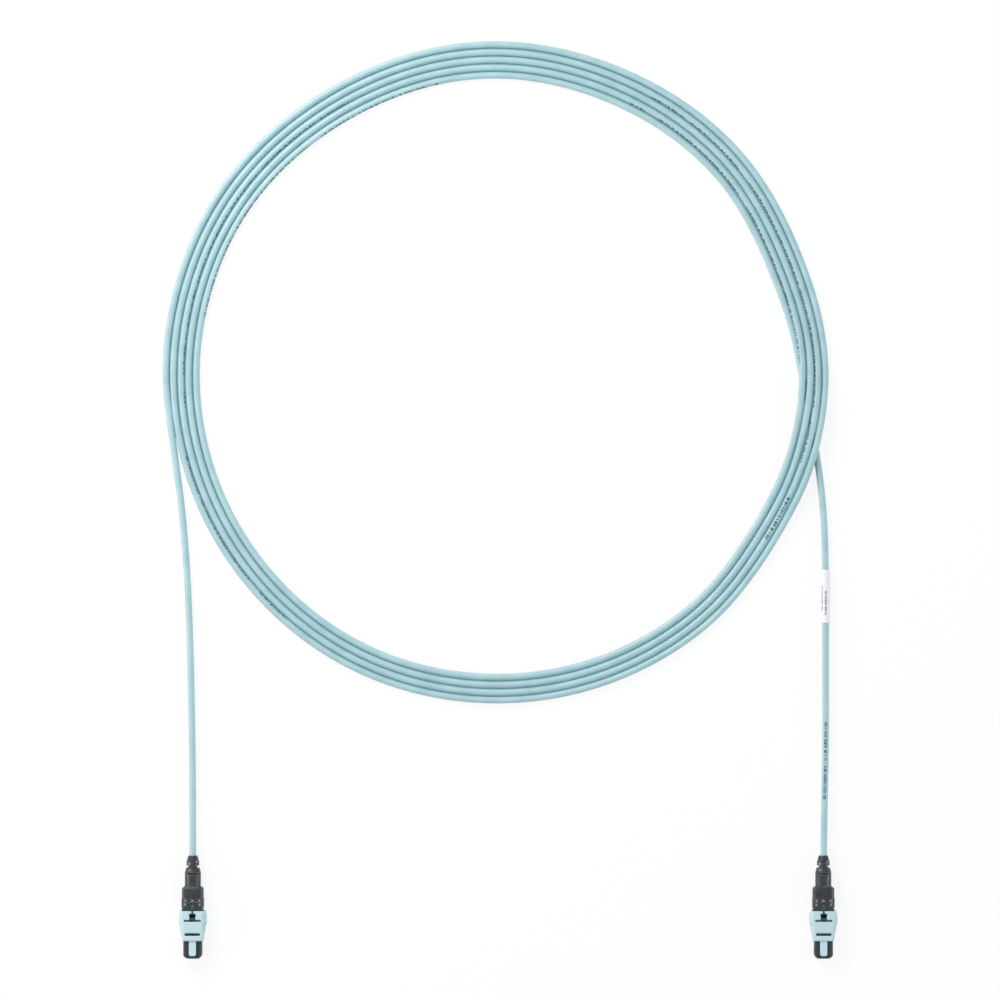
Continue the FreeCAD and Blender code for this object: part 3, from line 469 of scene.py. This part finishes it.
def moulded_surface_group():
    """Fine moulding grain, a slow change of tone and softened edges, for every moulded piece.

    Height is fine noise, Tone is slow noise, Edge is how far the rounded normal turns from the flat one,
    and Normal is the rounded normal.
    """
    group, given, out = new_group(
        "moulded_surface",
        [("Grain Size", "Float", 0.2), ("Mottle Size", "Float", 6.0), ("Edge Radius", "Float", 0.12)],
        [("Height", "Float"), ("Tone", "Float"), ("Edge", "Float"), ("Normal", "Vector")],
    )
    place = add(group, "ShaderNodeTexCoord").outputs["Object"]
    fine = math_node(group, "DIVIDE", 1000.0, given.outputs["Grain Size"])
    slow = math_node(group, "DIVIDE", 1000.0, given.outputs["Mottle Size"])
    grain = add(group, "ShaderNodeTexNoise", {
        "Vector": place, "Scale": fine, "Detail": 3.0, "Roughness": 0.6,
    })
    mottle = add(group, "ShaderNodeTexNoise", {
        "Vector": place, "Scale": slow, "Detail": 4.0, "Roughness": 0.55,
    })
    radius = math_node(group, "MULTIPLY", given.outputs["Edge Radius"], MM)
    rounded = add(group, "ShaderNodeBevel", {"Radius": radius}, samples=6)
    flat = add(group, "ShaderNodeNewGeometry").outputs["Normal"]
    along_flat = add(group, "ShaderNodeVectorMath", {0: rounded.outputs[0], 1: flat}, operation="DOT_PRODUCT")
    edge = spread(group, math_node(group, "SUBTRACT", 1.0, along_flat.outputs["Value"]), 0.02, 0.28)
    group.links.new(grain.outputs["Fac"], out.inputs["Height"])
    group.links.new(mottle.outputs["Fac"], out.inputs["Tone"])
    group.links.new(edge, out.inputs["Edge"])
    group.links.new(rounded.outputs[0], out.inputs["Normal"])
    return group


NOISE_RANGE = 0.3, 0.7         # most of a noise texture's values lie between these


def place_group(tree, group, **values):
    """A node that uses the group, with its own input values."""
    return add(tree, "ShaderNodeGroup", {k.replace("_", " "): v for k, v in values.items()}, node_tree=group)


def empty_material(name):
    """A node material without any nodes, and its tree."""
    material = bpy.data.materials.new(name)
    material.use_nodes = True
    material.node_tree.nodes.clear()
    return material, material.node_tree


def new_material(name):
    """A node material with a Principled shader on its output, its tree and that shader."""
    material, tree = empty_material(name)
    shader = add(tree, "ShaderNodeBsdfPrincipled")
    add(tree, "ShaderNodeOutputMaterial", {"Surface": shader.outputs[0]})
    return material, tree, shader


def set_grain(tree, shader, surface, rough, relief, strength=0.5, rounded=True):
    """The grain's height as roughness, within the two values of rough, and as a relief that many mm high,
    over the rounded edges or over the plain surface."""
    height = surface.outputs["Height"]
    tree.links.new(spread(tree, height, *NOISE_RANGE, *rough), shader.inputs["Roughness"])
    inputs = {"Height": height, "Strength": strength, "Distance": relief * MM}
    if rounded:
        inputs["Normal"] = surface.outputs["Normal"]
    tree.links.new(add(tree, "ShaderNodeBump", inputs).outputs[0], shader.inputs["Normal"])


def scaled(colour, factor):
    """The colour with each value times the factor, at most 1."""
    return tuple(min(c * factor, 1.0) for c in colour[:3]) + (1.0,)


def moulded(
    name, colour, group, rough=(0.42, 0.56), grain=0.2, mottle=6.0, edge=0.12, edge_wear_and_highlight=0.25, vary=0.10,
    relief=0.004, extra=None,
):
    """Moulded plastic or rubber: grain, a slow change of tone, and edges painted a little paler, partly
    for light rubbing and partly as a painted edge highlight.

    grain, mottle, edge and relief are in mm. extra, where it is given, takes the tree and the colour so
    far, and returns the colour to use.
    """
    material, tree, shader = new_material(name)
    surface = place_group(tree, group, Grain_Size=grain, Mottle_Size=mottle, Edge_Radius=edge)
    tone = surface.outputs["Tone"]
    mottled = spread(tree, tone, *NOISE_RANGE)
    body = blend_colour(tree, mottled, scaled(colour, 1 - vary), scaled(colour, 1 + vary))
    # edges painted paler: partly light rubbing, partly a painted edge highlight
    worn_and_lit_edge = tuple(c + (1 - c) * edge_wear_and_highlight * 0.35 for c in colour[:3]) + (1.0,)
    worn_and_lit_share = product(tree, surface.outputs["Edge"], spread(tree, tone, 0.2, 0.6))
    finish = blend_colour(tree, worn_and_lit_share, body, worn_and_lit_edge)
    if extra:
        finish = extra(tree, finish)
    tree.links.new(finish, shader.inputs["Base Color"])
    set_grain(tree, shader, surface, rough, relief)
    return material


# Where the rear housing's painted shade and painted highlight begin and end, in mm: behind its front end, and
# below the top of its pads
FRONT_BAND_END = 1.80, 1.95
GRIP_START, GRIP_END = (2.2, 2.3), (7.0, 6.9)
CROWN_DEPTH = 0.22, 0.06
POCKET_ROOF, POCKET_FLOOR = (0.6, 0.85), (1.15, 1.05)


def rear_housing_painted_light(tree, finish):
    """The rear housing's painted light: painted shade with an aqua tint of light reflected from the sleeve on
    the front that the sleeve slides over, painted shade in the pockets, and a painted highlight on the pads'
    crowns."""
    low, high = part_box("rear_housing_a")
    place = add(tree, "ShaderNodeTexCoord").outputs["Object"]
    y, z = add(tree, "ShaderNodeSeparateXYZ", {0: place}).outputs[1:3]
    half = (high.z - low.z) / 2
    height = distance_from(tree, z, (high.z + low.z) / 2)

    def behind(first, last):
        return spread(tree, y, low.y + first * MM, low.y + last * MM)

    def below(first, last):
        return spread(tree, height, half - first * MM, half - last * MM)

    pocket = product(
        tree, behind(*GRIP_START), behind(*GRIP_END), below(*POCKET_ROOF), below(*POCKET_FLOOR), 0.7
    )
    # painted shade with an aqua tint of light reflected from the sleeve, on the front band
    finish = blend_colour(tree, behind(*FRONT_BAND_END[::-1]), finish, linear(38, 60, 66))
    # painted shade in the pockets between the pads
    finish = blend_colour(tree, pocket, finish, linear(20, 25, 32))
    # painted highlight on the pads' crowns
    return blend_colour(tree, product(tree, below(*CROWN_DEPTH), 0.6), finish, linear(158, 170, 174))


# Where the front housing's painted highlight and painted reflected light begin and end, in mm: out from the
# plug's axis, and behind the nose's tip
PALE_SIDES = 3.2, 4.6
COVERED_FROM = 15.0, 15.5


def front_housing_painted_light(tree, finish):
    """The front housing's painted light: a painted highlight towards the nose's sides, and painted aqua light
    reflected from the sleeve on the block where the sleeve covers it. Both plugs' axes lie at the same distance
    from x = 0, one on either side."""
    low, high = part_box("front_housing_a")
    place = add(tree, "ShaderNodeTexCoord").outputs["Object"]
    x, y = add(tree, "ShaderNodeSeparateXYZ", {0: place}).outputs[0:2]
    aside = distance_from(tree, math_node(tree, "ABSOLUTE", x), abs(low.x + high.x) / 2)
    outer = spread(tree, aside, PALE_SIDES[0] * MM, PALE_SIDES[1] * MM)
    covered = spread(tree, y, low.y + COVERED_FROM[0] * MM, low.y + COVERED_FROM[1] * MM)
    # painted highlight towards the nose's sides
    finish = blend_colour(tree, product(tree, outer, 0.6), finish, linear(84, 86, 90))
    # painted aqua light reflected from the sleeve, on the block that the sleeve covers
    return blend_colour(tree, product(tree, covered, 0.75), finish, linear(42, 78, 84))


def metal(name, colour, group, rough=(0.22, 0.38)):
    """Plated or drawn metal with a fine grain, in places a fifth duller."""
    material, tree, shader = new_material(name)
    surface = place_group(tree, group, Grain_Size=0.08, Mottle_Size=3.0, Edge_Radius=0.04)
    tone = surface.outputs["Tone"]
    tree.links.new(blend_colour(tree, tone, scaled(colour, 0.8), colour), shader.inputs["Base Color"])
    set_grain(tree, shader, surface, rough, relief=0.003)
    shader.inputs["Metallic"].default_value = 1.0
    return material


# the fibres' usual colour order
FIBRE_COLOURS = (
    (40, 90, 170), (224, 122, 44), (62, 146, 84), (120, 82, 56), (130, 136, 140), (226, 226, 222),
    (186, 52, 50), (40, 40, 42), (226, 202, 70), (122, 84, 152), (224, 152, 172), (120, 200, 204),
)


def ribbon_material():
    """A flat ribbon of coated fibres: a clear matrix over one colour band a fibre, across x."""
    material, tree, shader = new_material("fibre_ribbon")
    place = add(tree, "ShaderNodeTexCoord").outputs["Object"]
    across = add(tree, "ShaderNodeSeparateXYZ", {0: place}).outputs["X"]
    width = FIBRE_COUNT * FIBRE_PITCH
    from_edge = math_node(tree, "SUBTRACT", math_node(tree, "ABSOLUTE", across), PLUG_X - width / 2)
    ramp = add(tree, "ShaderNodeValToRGB", {"Fac": math_node(tree, "DIVIDE", from_edge, width)})
    ramp.color_ramp.interpolation = "CONSTANT"
    for i, colour in enumerate(FIBRE_COLOURS):
        start = i / FIBRE_COUNT
        band = ramp.color_ramp.elements[i] if i < 2 else ramp.color_ramp.elements.new(start)
        band.position = start
        band.color = linear(*colour)
    wave = math_node(tree, "COSINE", math_node(tree, "MULTIPLY", across, 2 * math.pi / FIBRE_PITCH))
    relief = add(tree, "ShaderNodeBump", {"Height": wave, "Strength": 0.6, "Distance": 0.02 * MM})
    tree.links.new(ramp.outputs["Color"], shader.inputs["Base Color"])
    tree.links.new(relief.outputs[0], shader.inputs["Normal"])
    shader.inputs["Roughness"].default_value = 0.3
    return material


def fibre_end_material():
    """Polished glass: a pale core in a slightly darker cladding."""
    material, tree, shader = new_material("fibre_glass")
    place = add(tree, "ShaderNodeTexCoord").outputs["Object"]
    shade = add(tree, "ShaderNodeTexNoise", {"Vector": place, "Scale": 9000.0, "Detail": 1.0})
    colour = blend_colour(tree, shade.outputs["Fac"], linear(176, 196, 204), linear(232, 240, 242))
    tree.links.new(colour, shader.inputs["Base Color"])
    shader.inputs["Roughness"].default_value = 0.06
    return material


PRINT_EDGE = 0.86, 0.76        # mm to either side of a line's middle where the ink ends


def print_mask(tree, along, off, inside):
    """Where the jacket is inked: strokes in words, along each line of print.

    along and off are the distances in mm along the cord and round it from the middle of the line, and
    inside is how far within the line's two ends a point lies.
    """
    line = add(tree, "ShaderNodeCombineXYZ", {0: along, 1: 0.0, 2: 0.0}).outputs[0]
    face = add(tree, "ShaderNodeCombineXYZ", {0: along, 1: off, 2: 3.0}).outputs[0]
    stroke = add(tree, "ShaderNodeTexNoise", {"Vector": line, "Scale": 0.72, "Detail": 1.5, "Roughness": 0.7})
    word = add(tree, "ShaderNodeTexNoise", {"Vector": line, "Scale": 0.075, "Detail": 0.0})
    spot = add(tree, "ShaderNodeTexNoise", {"Vector": face, "Scale": 1.7, "Detail": 1.0})
    return product(
        tree,
        spread(tree, stroke.outputs["Fac"], 0.46, 0.51),
        spread(tree, word.outputs["Fac"], 0.36, 0.39),
        spread(tree, spot.outputs["Fac"], 0.38, 0.46),
        spread(tree, inside, 0.0, 0.6),
        spread(tree, math_node(tree, "ABSOLUTE", off), *PRINT_EDGE),
    )


def jacket_material(group):
    """The cord's satin jacket: a faint bloom of tone along it, fine grain, and its printed line as plain
    dark strokes."""
    material, tree, shader = new_material("cord_jacket")
    surface = place_group(tree, group, Grain_Size=0.25, Mottle_Size=9.0, Edge_Radius=0.02)
    tone = spread(tree, surface.outputs["Tone"], 0.32, 0.68)
    jacket = blend_colour(tree, tone, linear(160, 195, 202), linear(173, 205, 212))
    along, off, inside = (
        add(tree, "ShaderNodeAttribute", attribute_name=name).outputs["Fac"]
        for name in ("along", "from_print", "in_print")
    )
    inked = product(tree, print_mask(tree, along, off, inside), 0.92)
    tree.links.new(blend_colour(tree, inked, jacket, linear(24, 62, 70)), shader.inputs["Base Color"])
    set_grain(tree, shader, surface, (0.30, 0.40), relief=0.006, rounded=False)
    return material


# The label's printed bars: each one's middle as a share of a round, and its start and end as shares of
# the label's length
LABEL_BARS = ((0.86, 0.22, 0.70), (0.70, 0.14, 0.62))
BAR_EDGE = 0.046, 0.034        # the share of a round to either side of its middle where a bar ends
BAR_FADE = 0.004               # half the length over which a bar starts or ends


def label_material(group):
    """White film: a pale ground, a faint sheen and plain grey bars, broken into strokes, as its print."""
    material, tree, shader = new_material("label_film")
    surface = place_group(tree, group, Grain_Size=0.3, Mottle_Size=8.0, Edge_Radius=0.05)
    own = add(tree, "ShaderNodeUVMap", uv_map="along_and_round").outputs[0]
    u, v = add(tree, "ShaderNodeSeparateXYZ", {0: own}).outputs[0:2]
    ground = blend_colour(tree, surface.outputs["Tone"], linear(226, 231, 236), linear(242, 244, 248))
    along = math_node(tree, "MULTIPLY", u, (LABEL_TO_Y - LABEL_FROM_Y) / MM)
    line = add(tree, "ShaderNodeCombineXYZ", {0: along, 1: 0.0, 2: 0.0}).outputs[0]
    strokes = add(tree, "ShaderNodeTexNoise", {"Vector": line, "Scale": 1.15, "Detail": 1.0, "Roughness": 0.8})
    broken = spread(tree, strokes.outputs["Fac"], 0.40, 0.50)
    marks = 0.0
    for row, first, last in LABEL_BARS:
        near = spread(tree, distance_from(tree, v, row), *BAR_EDGE)
        after = spread(tree, u, first - BAR_FADE, first + BAR_FADE)
        before = spread(tree, u, last + BAR_FADE, last - BAR_FADE)
        marks = math_node(tree, "MAXIMUM", product(tree, near, after, before), marks)
    inked = product(tree, marks, broken, 0.75)
    tree.links.new(blend_colour(tree, inked, ground, linear(96, 104, 110)), shader.inputs["Base Color"])
    set_grain(tree, shader, surface, (0.30, 0.42), relief=0.004, strength=0.4)
    return material


# ---------------------------------------------------------------- CAD nodes
MERGE_WITHIN = 0.5e-6          # metres
SHARP_ABOVE = 32.0             # degrees


def smooth_by_angle_group():
    """Geometry nodes: joins the loose triangles and shades them smooth, except over sharp edges."""
    group = bpy.data.node_groups.new("smooth_by_angle", "GeometryNodeTree")
    group.interface.new_socket("Geometry", in_out="INPUT", socket_type="NodeSocketGeometry")
    group.interface.new_socket("Geometry", in_out="OUTPUT", socket_type="NodeSocketGeometry")
    given, out = group.nodes.new("NodeGroupInput"), group.nodes.new("NodeGroupOutput")
    merged = add(group, "GeometryNodeMergeByDistance", {
        "Geometry": given.outputs[0], "Distance": MERGE_WITHIN,
    }).outputs[0]
    angle = add(group, "GeometryNodeInputMeshEdgeAngle").outputs["Unsigned Angle"]
    soft = add(group, "FunctionNodeCompare", {
        0: angle, 1: math.radians(SHARP_ABOVE),
    }, data_type="FLOAT", operation="LESS_EQUAL").outputs[0]
    shaded = merged
    for domain, smooth in (("FACE", True), ("EDGE", soft)):
        shaded = add(group, "GeometryNodeSetShadeSmooth", {
            "Geometry": shaded, "Shade Smooth": smooth,
        }, domain=domain).outputs[0]
    group.links.new(shaded, out.inputs[0])
    return group


def dress(node_name, material, smoothing):
    """Gives a CAD node its finish and its smooth shading. Its shape and place stay as they are."""
    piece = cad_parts[node_name]
    piece.data.materials.clear()
    piece.data.materials.append(material)
    modifier = piece.modifiers.new("smooth_by_angle", "NODES")
    modifier.node_group = smoothing


def dress_plugs(surface):
    """Every piece of both plugs in its own finish."""
    smoothing = smooth_by_angle_group()
    aqua = dict(rough=(0.32, 0.42), vary=0.03, edge_wear_and_highlight=1.5)
    key = moulded("key_aqua", linear(197, 222, 230), surface, edge=0.8, **aqua)
    finishes = {
        "front_housing": moulded(
            "housing_black", linear(40, 54, 58), surface, rough=(0.26, 0.38), vary=0.16, edge=0.7, edge_wear_and_highlight=0.8,
            extra=front_housing_painted_light,
        ),
        "outer_sleeve": moulded("sleeve_aqua", linear(188, 217, 223), surface, edge=1.2, **aqua),
        "polarity_key_top": key,
        "polarity_key_bottom": key,
        "ferrule": moulded(
            "ferrule_black", linear(40, 42, 44), surface, rough=(0.25, 0.35), grain=0.05, edge=0.05
        ),
        "ferrule_boot": moulded("soft_grey", linear(118, 122, 126), surface, rough=(0.6, 0.75), edge=0.08),
        "fibre_ribbon": ribbon_material(),
        "pin_keeper": moulded("keeper_grey", linear(70, 74, 78), surface, rough=(0.4, 0.5), edge=0.08),
        "spring_push": moulded("spring_push_black", linear(40, 46, 50), surface),
        "crimp_ring": metal("crimp_metal", linear(202, 198, 186), surface, rough=(0.28, 0.42)),
        "rear_housing": moulded(
            "rear_housing_black", linear(46, 52, 56), surface, rough=(0.25, 0.38), vary=0.2, edge=0.8,
            edge_wear_and_highlight=0.9, extra=rear_housing_painted_light,
        ),
        "boot": moulded(
            "boot_black", linear(50, 56, 60), surface, rough=(0.24, 0.36), vary=0.2, edge=0.6, edge_wear_and_highlight=1.0
        ),
    }
    for end in ENDS:
        for name, material in finishes.items():
            dress(name + "_" + end, material, smoothing)


# ---------------------------------------------------------------- table and light
TABLE_R = 4.0
SHADE_RING_EDGE = 0.5 * MM           # half the width over which the painted aqua shade between the turns starts or ends
LEFT_TAIL_TOP = -30 * MM       # the first stretch of cord belongs to the coil above this, from its centre
FIRST_STRETCH = 0.4            # metres
TABLE_GLOW, SHADE_RING_GLOW = 0.86, 0.75
ROOM_LIGHT = 0.50              # the room's strength on the object, where 1 is what the camera sees


def turn_limits(path, angles):
    """Distance from (COIL_X, COIL_Y) to the innermost and the outermost turn's centre line, by angle.

    The coil's points, sorted into one sector an angle, give each sector's least and greatest distance.
    The tails aren't counted: the left one is the low end of the cord's first stretch, and the right one
    is what follows the last point to the upper right of the centre.
    """
    from_centre = path[:, :2] - np.array([COIL_X, COIL_Y])
    leaving = np.nonzero((from_centre[:, 0] > 0) & (from_centre[:, 1] > 0))[0][-1]
    past_left_tail = (from_centre[:, 1] > LEFT_TAIL_TOP) | (lengths_along(path) > FIRST_STRETCH)
    wound = (np.arange(len(path)) <= leaving) & past_left_tail
    distance = np.linalg.norm(from_centre[wound], axis=1)
    around = np.arctan2(from_centre[wound, 1], from_centre[wound, 0])
    count = len(angles)
    sector = np.round(around / (2 * math.pi) * count).astype(int) % count
    inner, outer = np.full(count, 1.0), np.zeros(count)
    np.minimum.at(inner, sector, distance)
    np.maximum.at(outer, sector, distance)
    return inner, outer


def make_table(path):
    """A plain white table top, far wider than the view. Seen straight on it is nearly self-white, so only
    a soft contact shadow shows. Between the coil's innermost and outermost turn it has painted aqua shade: less
    glow and an aqua colour for the camera, standing for the shade and the aqua light between the jackets.

    The top is a set of rings about the coil's centre: the middle, SHADE_RING_EDGE either side of the innermost
    turn, SHADE_RING_EDGE either side of the outermost one, and the far edge.
    """
    angles = np.linspace(0, 2 * math.pi, 240, endpoint=False)
    inner, outer = turn_limits(path, angles)
    radii = np.stack([
        0 * inner, inner - SHADE_RING_EDGE, inner + SHADE_RING_EDGE, outer - SHADE_RING_EDGE, outer + SHADE_RING_EDGE,
        0 * inner + TABLE_R,
    ])
    painted_shade_ring = np.repeat([0.0, 0.0, 1.0, 1.0, 0.0, 0.0], len(angles))
    points = np.stack([COIL_X + radii * np.cos(angles), COIL_Y + radii * np.sin(angles), 0 * radii], axis=-1)
    table = link_mesh("table", points.reshape(-1, 3), grid_faces(len(radii), len(angles)), smooth=False)
    set_attribute(table, "painted_shade_ring", painted_shade_ring)
    material, tree = empty_material("table_white")
    # painted shade: the ring between the innermost and the outermost turn
    between = spread(tree, add(tree, "ShaderNodeAttribute", attribute_name="painted_shade_ring").outputs["Fac"], 0.4, 0.6)
    light_path = add(tree, "ShaderNodeLightPath").outputs
    seen = math_node(tree, "MAXIMUM", light_path["Is Camera Ray"], light_path["Is Glossy Ray"])
    seen = math_node(tree, "MAXIMUM", seen, light_path["Is Transmission Ray"])
    glow = math_node(tree, "MULTIPLY", seen, spread(tree, between, 0.0, 1.0, TABLE_GLOW, SHADE_RING_GLOW))
    # painted aqua shade, seen by the camera between the turns
    seen_colour = blend_colour(tree, between, linear(255, 255, 255), linear(98, 158, 162))
    matt = add(tree, "ShaderNodeBsdfDiffuse", {"Color": linear(248, 249, 250)})
    white = add(tree, "ShaderNodeEmission", {"Color": seen_colour, "Strength": 1.0})
    both = add(tree, "ShaderNodeMixShader", {0: glow, 1: matt.outputs[0], 2: white.outputs[0]})
    add(tree, "ShaderNodeOutputMaterial", {"Surface": both.outputs[0]})
    table.data.materials.append(material)


def make_world():
    """An even white room. The camera and mirrors see it at full white, the object is lit more softly."""
    world = bpy.data.worlds.new("room")
    bpy.context.scene.world = world
    world.use_nodes = True
    tree = world.node_tree
    tree.nodes.clear()
    path = add(tree, "ShaderNodeLightPath").outputs
    seen = math_node(tree, "MAXIMUM", path["Is Camera Ray"], path["Is Transmission Ray"])
    strength = spread(tree, seen, 0.0, 1.0, ROOM_LIGHT, 1.0)
    back = add(tree, "ShaderNodeBackground", {"Color": linear(255, 255, 255), "Strength": strength})
    add(tree, "ShaderNodeOutputWorld", {"Surface": back.outputs[0]})


def area_light(name, location, target, size, power):
    """A soft square light, unseen by the camera, turned towards its target."""
    data = bpy.data.lights.new(name, "AREA")
    data.size = size
    data.energy = power
    light = bpy.data.objects.new(name, data)
    bpy.context.scene.collection.objects.link(light)
    light.location = location
    away = [a - b for a, b in zip(location, target)]
    across, up = math.hypot(away[0], away[1]), away[2]
    light.rotation_euler = (math.atan2(across, up), 0.0, math.atan2(away[0], -away[1]))
    light.visible_camera = False


# A large soft light low on the upper left, where the cord's turns shine, a weak one on either side, and
# two low ones level with the plugs, for the streaks along their black housings: each one's name, place,
# target, size in metres and power in watts
LIGHTS = (
    ("key", (-0.62, 0.98, 0.80), (-0.03, 0.28, 0.0), 0.7, 11.6),
    ("fill_right", (0.80, -0.5, 1.2), (0.0, 0.0, 0.0), 0.5, 2.0),
    ("fill_left", (-0.80, -0.5, 1.2), (0.0, 0.0, 0.0), 0.5, 1.4),
    ("rim_right", (1.45, 0.02, 0.52), (0.0, 0.02, 0.0), 0.4, 3.6),
    ("rim_left", (-1.45, 0.02, 0.52), (0.0, 0.02, 0.0), 0.4, 3.6),
)


# ---------------------------------------------------------------- build
make_camera()
bpy.context.scene.view_settings.view_transform = "Standard"
make_world()
for light in LIGHTS:
    area_light(*light)

surface_group = moulded_surface_group()

route = read_route()
make_table(route)
cord = make_cord(route)
cord.data.materials.append(jacket_material(surface_group))
label = make_label(route)
label.data.materials.append(label_material(surface_group))
for piece, body, slot, nodes in (
    (cord, "housings_and_cord", "cord_aqua", ("cord_tail_left", "cord_coil", "cord_tail_right")),
    (label, "housings_and_cord", "label_white", ("marker_label",)),
):
    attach(piece, body)
    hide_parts(*nodes)

dress_plugs(surface_group)
glass = fibre_end_material()
steel = metal("spring_steel", linear(196, 198, 200), surface_group)
for end in ENDS:
    for node, wire, turns, pusher in SPRINGS:
        make_spring(node + "_" + end, wire, turns).data.materials.append(steel)
    low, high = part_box("ferrule_" + end)
    ends = make_fibre_ends(end, (low.x + high.x) / 2, low.y, (low.z + high.z) / 2)
    ends.data.materials.append(glass)
